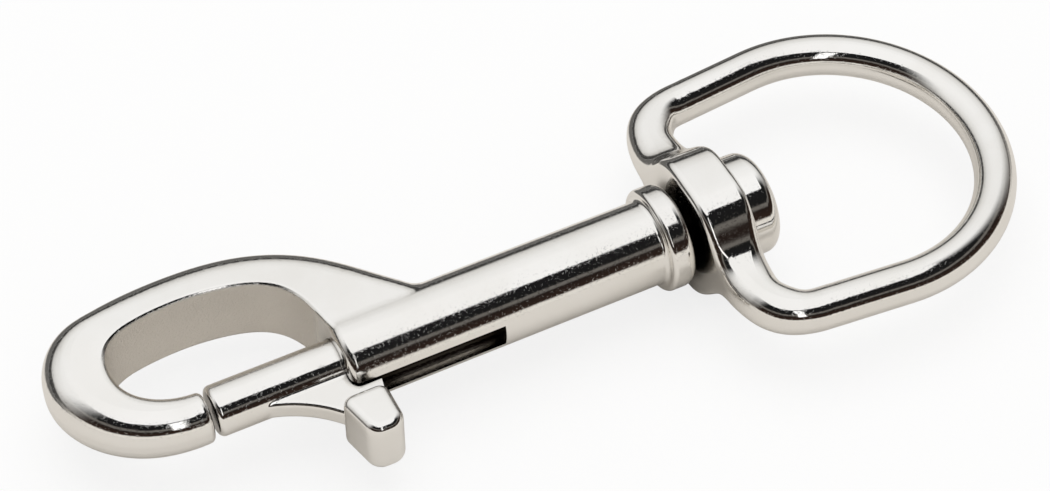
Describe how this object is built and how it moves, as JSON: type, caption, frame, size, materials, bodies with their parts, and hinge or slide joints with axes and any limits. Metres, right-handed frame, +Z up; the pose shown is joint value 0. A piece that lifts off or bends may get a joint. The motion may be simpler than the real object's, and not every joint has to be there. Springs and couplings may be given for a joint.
{
  "type": "bolt snap",
  "caption": "Polished swivel-eye bolt snap: a cast hook closed by a spring-loaded bolt with a thumb pad, on a barrel with a turning stirrup-shaped eye.",
  "frame": {"origin": "on the floor under the middle of the snap as it lies flat", "axes": "+X along the barrel from the hook to the eye, +Y towards the hook's bow, +Z up"},
  "size_m": [0.1176, 0.0426, 0.0156],
  "materials": {
    "nickel": "polished",
    "spring_steel": "drawn wire"
  },
  "bodies": {
    "snap_body": {"body": "nickel", "spring": "spring_steel", "swivel_rivet": "nickel"},
    "sliding_bolt": {"bolt": "nickel"},
    "eye": {"swivel_eye": "nickel"}
  },
  "joints": [
    {"name": "bolt_slide", "type": "slide", "parent": "snap_body", "child": "sliding_bolt", "axis": [1, 0, 0], "range_m": [0, 0.0145], "stiffness_N_per_m": 300, "springref_m": -0.01, "deforming": ["spring"]},
    {"name": "eye_swivel", "type": "hinge", "parent": "snap_body", "child": "eye", "pos_m": [0.01929, 0, 0.0078], "axis": [1, 0, 0], "continuous": true}
  ]
}
